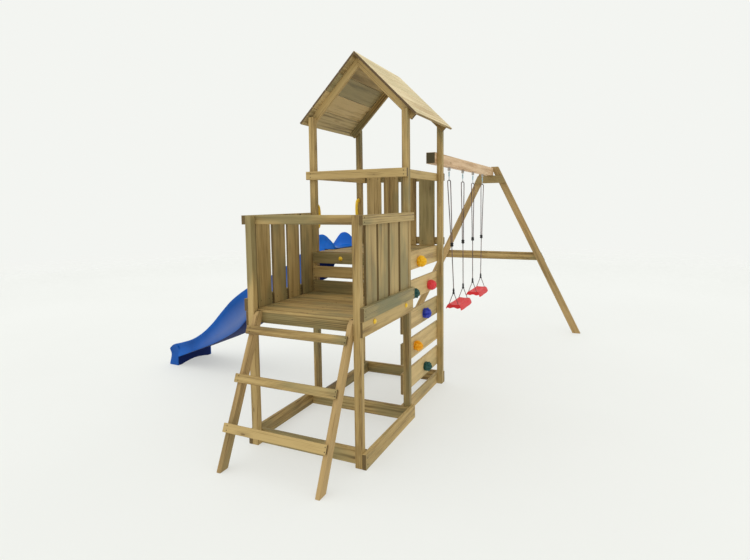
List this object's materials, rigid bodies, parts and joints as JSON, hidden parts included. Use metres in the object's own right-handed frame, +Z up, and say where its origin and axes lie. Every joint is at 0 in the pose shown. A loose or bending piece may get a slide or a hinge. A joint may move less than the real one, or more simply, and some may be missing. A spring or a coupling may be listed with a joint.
{
  "type": "rock climbing wall play tower",
  "caption": "Timber play tower with a climbing wall, ladder, low and high decks, roof, wavy slide and a double swing on an A-frame.",
  "frame": {"origin": "on the ground, under the centre of the bounding box in X and Y", "axes": "+Z up; +Y from the ladder side through the tower towards the swing's A-frame; +X from the slide towards the climbing wall"},
  "size_m": [4.5264, 5.3267, 3.2998],
  "materials": {
    "treated_timber": "pressure-treated softwood, planed, greenish tan",
    "planed_timber": "planed pine, pale tan",
    "roof_timber": "planed pine, pale cream",
    "hold_yellow": "grainy cast resin",
    "hold_orange": "grainy cast resin",
    "hold_red": "grainy cast resin",
    "hold_green": "grainy cast resin",
    "hold_blue": "grainy cast resin",
    "blue_plastic": "blow-moulded polyethylene",
    "yellow_plastic": "moulded plastic",
    "red_plastic": "moulded plastic",
    "zinc_steel": "zinc plated",
    "rope": "twisted polypropylene rope"
  },
  "bodies": {
    "frame": {"a_frame_brace": "treated_timber", "a_frame_gusset": "treated_timber", "a_frame_leg_left": "treated_timber", "a_frame_leg_right": "treated_timber", "back_panel": "treated_timber", "base_frame": "treated_timber", "bolt_blue": "zinc_steel", "bolt_green_high": "zinc_steel", "bolt_green_low": "zinc_steel", "bolt_orange": "zinc_steel", "bolt_red": "zinc_steel", "bolt_yellow": "zinc_steel", "grab_handle_back": "yellow_plastic", "grab_handle_front": "yellow_plastic", "high_deck": "treated_timber", "high_rails": "treated_timber", "hold_blue": "hold_blue", "hold_green_high": "hold_green", "hold_green_low": "hold_green", "hold_orange": "hold_orange", "hold_red": "hold_red", "hold_yellow": "hold_yellow", "ladder_rung_1": "treated_timber", "ladder_rung_2": "treated_timber", "ladder_rung_3": "treated_timber", "ladder_stringer_left": "treated_timber", "ladder_stringer_right": "treated_timber", "low_deck": "treated_timber", "low_front_rail": "treated_timber", "low_side_panel_left": "treated_timber", "low_side_panel_right": "treated_timber", "post_back_left": "treated_timber", "post_back_right": "treated_timber", "post_front_left": "treated_timber", "post_front_right": "treated_timber", "post_mid_left": "treated_timber", "post_mid_right": "treated_timber", "riser_board_1": "treated_timber", "riser_board_2": "treated_timber", "riser_board_3": "treated_timber", "roof_left": "roof_timber", "roof_right": "roof_timber", "slide": "blue_plastic", "swing_beam": "planed_timber", "swing_far_hanger_far": "zinc_steel", "swing_far_hanger_near": "zinc_steel", "swing_near_hanger_far": "zinc_steel", "swing_near_hanger_near": "zinc_steel", "wall_base_board": "planed_timber", "wall_board_1": "planed_timber", "wall_board_2": "planed_timber", "wall_board_3": "planed_timber", "wall_board_4": "planed_timber", "wall_board_5": "planed_timber"},
    "swing_near": {"swing_near_rope_far": "rope", "swing_near_rope_near": "rope", "swing_near_seat": "red_plastic"},
    "swing_far": {"swing_far_rope_far": "rope", "swing_far_rope_near": "rope", "swing_far_seat": "red_plastic"}
  },
  "joints": [
    {"name": "swing_near_hinge", "type": "hinge", "parent": "frame", "child": "swing_near", "pos_m": [0.9215, 0.6765, 2.325], "axis": [0, 1, 0], "range_deg": [-60, 60]},
    {"name": "swing_far_hinge", "type": "hinge", "parent": "frame", "child": "swing_far", "pos_m": [0.9215, 1.7755, 2.325], "axis": [0, 1, 0], "range_deg": [-60, 60]}
  ]
}
